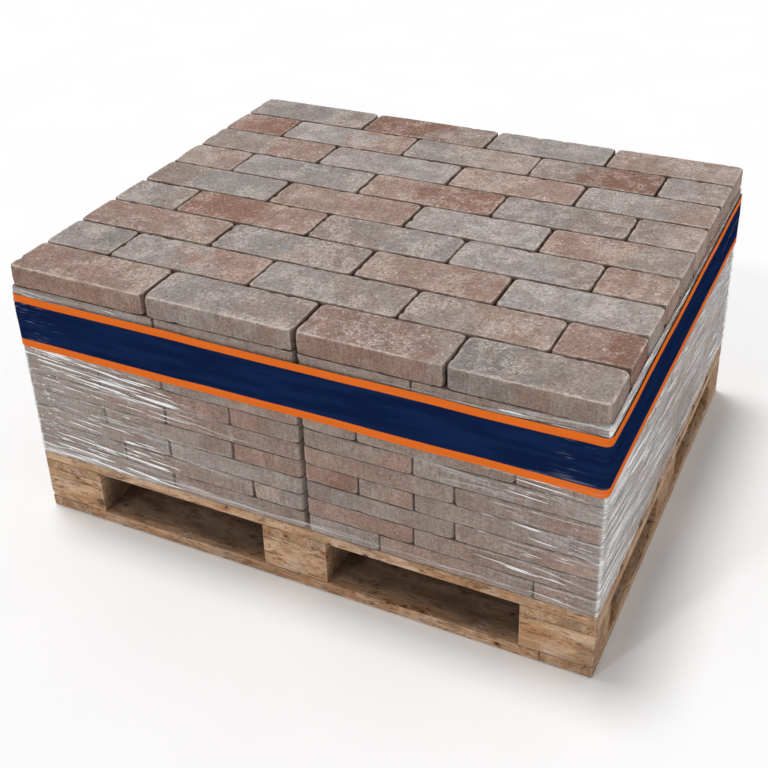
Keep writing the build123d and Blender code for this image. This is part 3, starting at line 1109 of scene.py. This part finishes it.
def film_looks(along, z, share, outline):
    """How milky, how streaky and how crinkled the film is, and its height before its turns dropped on
    their way round. It is clear in the middle of the front, streaky with painted highlights at its left
    end, and milkier on the right side, partly as a painted reflection. The other two sides lie between."""
    corners = outline["corners"]
    on_front = (along > corners["left"]) & (along < corners["near"])
    on_right = (along >= corners["near"]) & (along < corners["far"])
    band_low, band_high = (corner.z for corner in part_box(BAND["node"]))
    patches = smooth_noise(on_sheet(along, z), np.array(PATCH_SIZE), SEED + 5)

    def spots(places):
        return spots_on(along, outline, places)

    hem = np.exp(-(share / HEM_SHARE) ** 2) * (LEAST_HEM_HAZE + spots(HEM_HAZE)) * (0.5 + patches)
    tucked = np.exp(-((z - band_low + TUCK_DROP) / TUCK_HEIGHT) ** 2) * spots(TUCKED_HAZE)
    front_haze = CLEAR_HAZE + spots(FRONT_HAZE) + hem + 0.5 * tucked
    # Milkier sides; on the right side this is partly a painted reflection, and the corners get painted
    # highlight lines
    side_haze_and_reflection = np.where(on_right, SIDE_HAZE_AND_REFLECTION[0] + spots(RIGHT_SIDE_HAZE_AND_REFLECTION), SIDE_HAZE_AND_REFLECTION[1])
    side_haze_and_reflection = side_haze_and_reflection * (0.75 + 0.5 * patches)
    haze_and_reflection = np.where(on_front, front_haze, side_haze_and_reflection) + spots(CORNER_HIGHLIGHTS)

    # Streaks are white painted highlights
    left_streaks = spots(LEFT_STREAKS) * np.where(z > band_high, STREAKS_ABOVE_BAND, 1.0)
    front_streaks = np.maximum(left_streaks, spots(NEAR_STREAKS))
    side_streaks = np.where(on_right, SIDE_STREAKS[0] + spots(RIGHT_SIDE_STREAKS), SIDE_STREAKS[1])
    side_streaks = side_streaks + STREAK_PATCHES * (patches - 0.5)
    streaky = np.where(on_front, front_streaks, side_streaks) + 0.3 * hem + 0.25 * tucked
    off = from_corner(along, outline, "near")
    slanted = z + np.where(off > 0, DROP_PAST * off, DROP_BEFORE * off)
    return {"haze_and_reflection": haze_and_reflection, "streaky": streaky, "crinkled": spots(CRINKLES), "slanted": slanted}


def folds(corner, off, spread, count, longest, low, high, slope=0.0, slopes=FOLD_SLOPES, width=FOLD_WIDTH):
    """Where some of the folds lie: how far past which corner and how spread out, their number, the
    longest, the lowest and highest, how they slope and how that varies, and their width."""
    return {"corner": corner, "off": off, "spread": spread, "count": count, "longest": longest,
            "low": low, "high": high, "slope": slope, "slopes": slopes, "width": width}


def joint_folds(level):
    """Thin folds where the film spans the joint on top of a layer, near the front's two ends."""
    span = {"low": level - 5 * MM, "high": level - 1 * MM, "slopes": 0.006, "width": 0.9 * MM}
    return [folds("near", -0.1, 0.06, 3, 0.22, **span), folds("left", 0.12, 0.08, 2, 0.22, **span)]


def film_folds(band_low, band_high):
    """The film's folds: at the front's ends, along the right side, at the other corners and
    sides, along the lower hem and above the band."""
    low, high = (corner.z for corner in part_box(FILM["node"]))
    zones = [
        folds("left", 0.2, 0.12, 26, 0.2, low, band_low, slope=-0.06),
        folds("left", 0.38, 0.07, 8, 0.3, low, band_low, slope=-0.07),
        folds("near", -0.17, 0.1, 10, 0.25, low, band_low, slope=-0.06),
        folds("near", 0.07, 0.03, 34, 0.24, low, band_low, slope=-0.17, slopes=0.06),
        folds("near", 0.25, 0.12, 26, 0.4, low, band_low, slope=-0.15),
        folds("near", 0.65, 0.2, 22, 0.5, low, band_low, slope=-0.08),
    ]
    for corner, off, spread, count in (("far", 0.6, 0.3, 26), ("back", 0.5, 0.25, 22)):
        zones += [
            folds(corner, -0.06, 0.03, 20, 0.2, low, band_low, slope=0.12, slopes=0.06),
            folds(corner, 0.06, 0.03, 20, 0.2, low, band_low, slope=-0.1, slopes=0.06),
            folds(corner, off, spread, count, 0.6, low, high),
        ]
    zones += [
        folds("left", -0.06, 0.03, 24, 0.2, low, band_low, slope=0.14, slopes=0.06),
        folds("left", 0.3, 0.25, 20, 0.3, low, low + 20 * MM, slopes=0.012),
        folds("near", 0.0, 0.12, 16, 0.3, band_high - 5 * MM, high, slopes=0.015),
        folds("left", 0.08, 0.05, 6, 0.15, band_high, high, slope=-0.05),
    ]
    for node in sorted(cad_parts):
        if node.startswith("brick_layer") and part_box(node)[1].z < band_low:
            zones += joint_folds(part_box(node)[1].z)
    return zones


def band_folds(low, high):
    """The band's few folds: near the front's two ends and along the two far sides."""
    return [
        folds("near", -0.05, 0.03, 4, 0.12, low, high, slopes=0.05, width=1.2 * MM),
        folds("left", 0.03, 0.02, 3, 0.08, low, high, slopes=0.1, width=1.2 * MM),
        folds("far", 0.0, 0.2, 6, 0.2, low, high, width=1.2 * MM),
        folds("back", 0.0, 0.2, 6, 0.2, low, high, width=1.2 * MM),
    ]


def make_wrapping():
    """The film, and the band round it."""
    band_low, band_high = (corner.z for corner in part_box(BAND["node"]))
    wrap(FILM, film_folds(band_low, band_high), film_material())
    wrap(BAND, band_folds(band_low, band_high), band_material())


# Stage

def make_floor():
    """A wide pale floor just under the pallet."""
    corners = FLOOR_REACH * np.array([(-1, -1, 0), (1, -1, 0), (1, 1, 0), (-1, 1, 0)])
    floor = new_object("floor", corners - [0, 0, FLOOR_DROP], np.array([[0, 1, 2, 3]]))
    s = Shader("pale_floor")
    place = s.node("ShaderNodeTexCoord").outputs["Object"]
    shade = s.ramp(s.noise(place, 3.0, detail=3.0), 0.3, 0.7)
    base = s.mix(shade, *FLOOR_WHITES)
    floor.data.materials.append(s.finished(Base_Color=base, Roughness=0.9, Specular_IOR_Level=0.1))


def make_world():
    """Even soft light, and plain white where the camera sees past the floor."""
    world = bpy.data.worlds.new("studio")
    bpy.context.scene.world = world
    world.use_nodes = True
    tree = world.node_tree
    background = tree.nodes["Background"]
    path = tree.nodes.new("ShaderNodeLightPath")
    strength = tree.nodes.new("ShaderNodeMapRange")
    strength.inputs["To Min"].default_value = SKY_STRENGTH
    strength.inputs["To Max"].default_value = 1.0
    tree.links.new(path.outputs["Is Camera Ray"], strength.inputs["Value"])
    tree.links.new(strength.outputs["Result"], background.inputs["Strength"])
    background.inputs["Color"].default_value = (1, 1, 1, 1)


def add_sun(name, sun):
    """A sun that shines from the front at turn 0 and from the left at turn -90."""
    lamp = bpy.data.lights.new(name, "SUN")
    lamp.energy = sun["energy"]
    lamp.angle = math.radians(sun["width"])
    made = bpy.data.objects.new(name, lamp)
    made.rotation_euler = (math.radians(90 - sun["height"]), 0, math.radians(sun["turn"]))
    bpy.context.scene.collection.objects.link(made)


def make_camera():
    """The camera, with upright lines leaning a little as its small shift leaves them."""
    camera = bpy.data.cameras.new("camera")
    camera.lens = CAMERA_LENS
    camera.shift_y = CAMERA_SHIFT_Y
    made = bpy.data.objects.new("camera", camera)
    turn = Matrix.Rotation(math.radians(CAMERA_TURN), 4, "Z")
    pitch = Matrix.Rotation(math.radians(90 - CAMERA_PITCH), 4, "X")
    roll = Matrix.Rotation(math.radians(CAMERA_ROLL), 4, "Z")
    made.matrix_world = Matrix.Translation(CAMERA_PLACE) @ turn @ pitch @ roll
    bpy.context.scene.collection.objects.link(made)
    bpy.context.scene.camera = made


make_camera()
make_bricks()
make_pallet()
make_wrapping()
make_floor()
make_world()
add_sun("key", KEY_SUN)
add_sun("glints", GLINT_SUN)
bpy.context.scene.view_settings.view_transform = "Standard"
